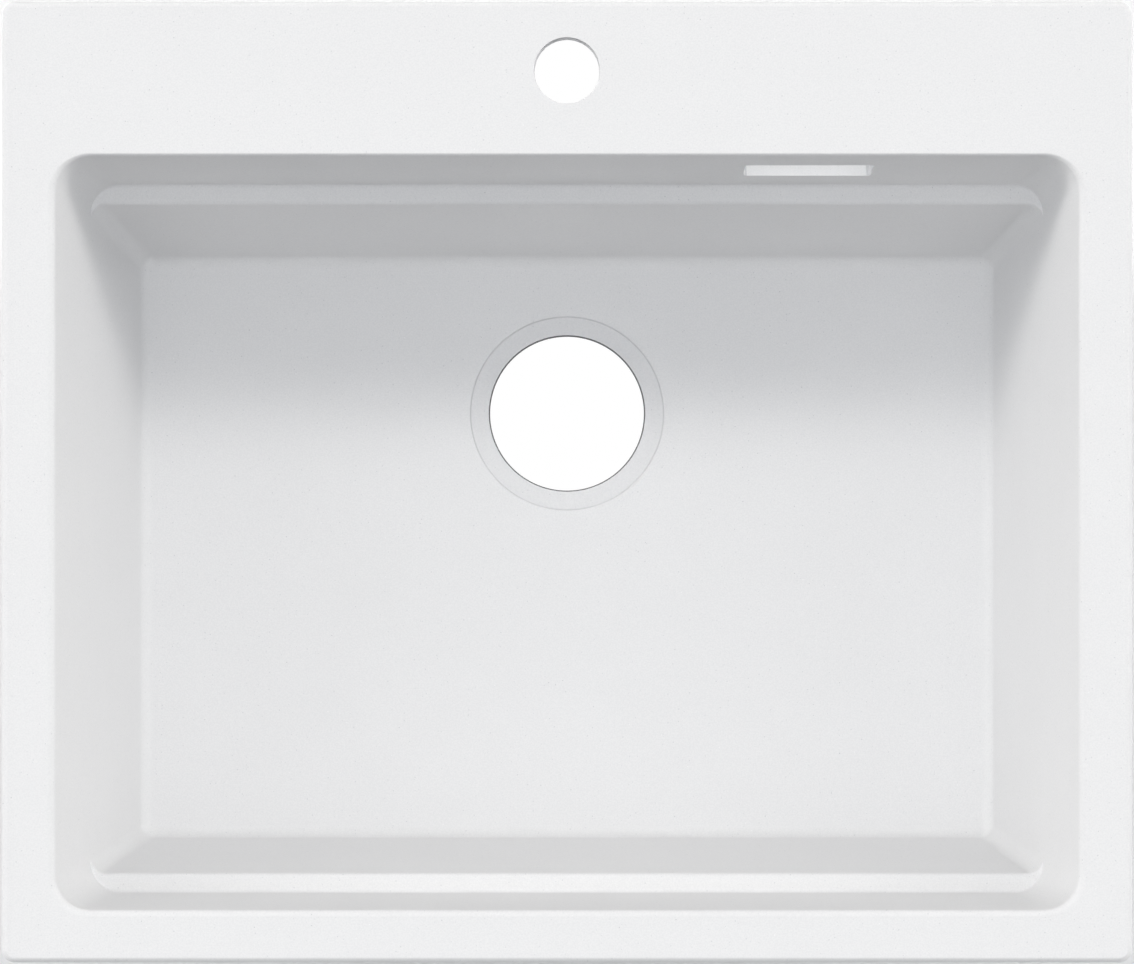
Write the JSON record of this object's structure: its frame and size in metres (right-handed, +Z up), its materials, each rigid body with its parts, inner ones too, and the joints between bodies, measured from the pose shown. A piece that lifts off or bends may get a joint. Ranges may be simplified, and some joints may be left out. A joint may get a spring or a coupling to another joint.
{
  "type": "kitchen sink",
  "caption": "Inset single-bowl kitchen sink in pale speckled stone composite, with stepped ledges, tap deck, overflow slot, open drain and tap holes, rim seal and swinging worktop clamps.",
  "frame": {"origin": "middle of the sink's outline in plan, at the height of the bowl's underside, on which it stands", "axes": "+X to the right for a person at the sink, along its 600 mm width; +Y to the back, where the tap deck is; +Z up"},
  "size_m": [0.6, 0.51, 0.212],
  "materials": {
    "composite": "satin, pale, with fine sparse grey speckle",
    "seal_foam": "matt closed-cell foam",
    "insert_brass": "turned",
    "zinc_screw": "bright zinc plated",
    "galvanised_claw": "galvanised"
  },
  "bodies": {
    "sink": {"sink_body": "composite", "rim_seal": "seal_foam", "threaded_inserts": "insert_brass"},
    "washer_right_front": {"clamp_washer_right_front": "zinc_screw"},
    "screw_right_front": {"clamp_screw_right_front": "zinc_screw"},
    "claw_right_front": {"clamp_claw_right_front": "galvanised_claw"},
    "washer_right_back": {"clamp_washer_right_back": "zinc_screw"},
    "screw_right_back": {"clamp_screw_right_back": "zinc_screw"},
    "claw_right_back": {"clamp_claw_right_back": "galvanised_claw"},
    "washer_back_right": {"clamp_washer_back_right": "zinc_screw"},
    "screw_back_right": {"clamp_screw_back_right": "zinc_screw"},
    "claw_back_right": {"clamp_claw_back_right": "galvanised_claw"},
    "washer_back_left": {"clamp_washer_back_left": "zinc_screw"},
    "screw_back_left": {"clamp_screw_back_left": "zinc_screw"},
    "claw_back_left": {"clamp_claw_back_left": "galvanised_claw"},
    "washer_left_back": {"clamp_washer_left_back": "zinc_screw"},
    "screw_left_back": {"clamp_screw_left_back": "zinc_screw"},
    "claw_left_back": {"clamp_claw_left_back": "galvanised_claw"},
    "washer_left_front": {"clamp_washer_left_front": "zinc_screw"},
    "screw_left_front": {"clamp_screw_left_front": "zinc_screw"},
    "claw_left_front": {"clamp_claw_left_front": "galvanised_claw"},
    "washer_front_left": {"clamp_washer_front_left": "zinc_screw"},
    "screw_front_left": {"clamp_screw_front_left": "zinc_screw"},
    "claw_front_left": {"clamp_claw_front_left": "galvanised_claw"},
    "washer_front_right": {"clamp_washer_front_right": "zinc_screw"},
    "screw_front_right": {"clamp_screw_front_right": "zinc_screw"},
    "claw_front_right": {"clamp_claw_front_right": "galvanised_claw"}
  },
  "joints": [
    {"name": "travel_right_front", "type": "slide", "parent": "sink", "child": "washer_right_front", "axis": [0, 0, 1], "range_m": [0, 0.012]},
    {"name": "turn_right_front", "type": "hinge", "parent": "washer_right_front", "child": "screw_right_front", "pos_m": [0.2842, -0.13, 0.17], "axis": [0, 0, 1], "range_deg": [0, 5400]},
    {"name": "swing_right_front", "type": "hinge", "parent": "washer_right_front", "child": "claw_right_front", "pos_m": [0.2842, -0.13, 0.15], "axis": [0, 0, -1], "range_deg": [0, 90]},
    {"name": "travel_right_back", "type": "slide", "parent": "sink", "child": "washer_right_back", "axis": [0, 0, 1], "range_m": [0, 0.012]},
    {"name": "turn_right_back", "type": "hinge", "parent": "washer_right_back", "child": "screw_right_back", "pos_m": [0.2842, 0.13, 0.17], "axis": [0, 0, 1], "range_deg": [0, 5400]},
    {"name": "swing_right_back", "type": "hinge", "parent": "washer_right_back", "child": "claw_right_back", "pos_m": [0.2842, 0.13, 0.15], "axis": [0, 0, -1], "range_deg": [0, 90]},
    {"name": "travel_back_right", "type": "slide", "parent": "sink", "child": "washer_back_right", "axis": [0, 0, 1], "range_m": [0, 0.012]},
    {"name": "turn_back_right", "type": "hinge", "parent": "washer_back_right", "child": "screw_back_right", "pos_m": [0.192, 0.2392, 0.17], "axis": [0, 0, 1], "range_deg": [0, 5400]},
    {"name": "swing_back_right", "type": "hinge", "parent": "washer_back_right", "child": "claw_back_right", "pos_m": [0.192, 0.2392, 0.15], "axis": [0, 0, -1], "range_deg": [0, 90]},
    {"name": "travel_back_left", "type": "slide", "parent": "sink", "child": "washer_back_left", "axis": [0, 0, 1], "range_m": [0, 0.012]},
    {"name": "turn_back_left", "type": "hinge", "parent": "washer_back_left", "child": "screw_back_left", "pos_m": [-0.192, 0.2392, 0.17], "axis": [0, 0, 1], "range_deg": [0, 5400]},
    {"name": "swing_back_left", "type": "hinge", "parent": "washer_back_left", "child": "claw_back_left", "pos_m": [-0.192, 0.2392, 0.15], "axis": [0, 0, -1], "range_deg": [0, 90]},
    {"name": "travel_left_back", "type": "slide", "parent": "sink", "child": "washer_left_back", "axis": [0, 0, 1], "range_m": [0, 0.012]},
    {"name": "turn_left_back", "type": "hinge", "parent": "washer_left_back", "child": "screw_left_back", "pos_m": [-0.2842, 0.13, 0.17], "axis": [0, 0, 1], "range_deg": [0, 5400]},
    {"name": "swing_left_back", "type": "hinge", "parent": "washer_left_back", "child": "claw_left_back", "pos_m": [-0.2842, 0.13, 0.15], "axis": [0, 0, -1], "range_deg": [0, 90]},
    {"name": "travel_left_front", "type": "slide", "parent": "sink", "child": "washer_left_front", "axis": [0, 0, 1], "range_m": [0, 0.012]},
    {"name": "turn_left_front", "type": "hinge", "parent": "washer_left_front", "child": "screw_left_front", "pos_m": [-0.2842, -0.13, 0.17], "axis": [0, 0, 1], "range_deg": [0, 5400]},
    {"name": "swing_left_front", "type": "hinge", "parent": "washer_left_front", "child": "claw_left_front", "pos_m": [-0.2842, -0.13, 0.15], "axis": [0, 0, -1], "range_deg": [0, 90]},
    {"name": "travel_front_left", "type": "slide", "parent": "sink", "child": "washer_front_left", "axis": [0, 0, 1], "range_m": [0, 0.012]},
    {"name": "turn_front_left", "type": "hinge", "parent": "washer_front_left", "child": "screw_front_left", "pos_m": [-0.17, -0.2392, 0.17], "axis": [0, 0, 1], "range_deg": [0, 5400]},
    {"name": "swing_front_left", "type": "hinge", "parent": "washer_front_left", "child": "claw_front_left", "pos_m": [-0.17, -0.2392, 0.15], "axis": [0, 0, -1], "range_deg": [0, 90]},
    {"name": "travel_front_right", "type": "slide", "parent": "sink", "child": "washer_front_right", "axis": [0, 0, 1], "range_m": [0, 0.012]},
    {"name": "turn_front_right", "type": "hinge", "parent": "washer_front_right", "child": "screw_front_right", "pos_m": [0.17, -0.2392, 0.17], "axis": [0, 0, 1], "range_deg": [0, 5400]},
    {"name": "swing_front_right", "type": "hinge", "parent": "washer_front_right", "child": "claw_front_right", "pos_m": [0.17, -0.2392, 0.15], "axis": [0, 0, -1], "range_deg": [0, 90]}
  ],
  "couplings": [
    {"joint": "turn_right_front", "follows": "travel_right_front", "rad_per_m": 7854},
    {"joint": "turn_right_back", "follows": "travel_right_back", "rad_per_m": 7854},
    {"joint": "turn_back_right", "follows": "travel_back_right", "rad_per_m": 7854},
    {"joint": "turn_back_left", "follows": "travel_back_left", "rad_per_m": 7854},
    {"joint": "turn_left_back", "follows": "travel_left_back", "rad_per_m": 7854},
    {"joint": "turn_left_front", "follows": "travel_left_front", "rad_per_m": 7854},
    {"joint": "turn_front_left", "follows": "travel_front_left", "rad_per_m": 7854},
    {"joint": "turn_front_right", "follows": "travel_front_right", "rad_per_m": 7854}
  ]
}
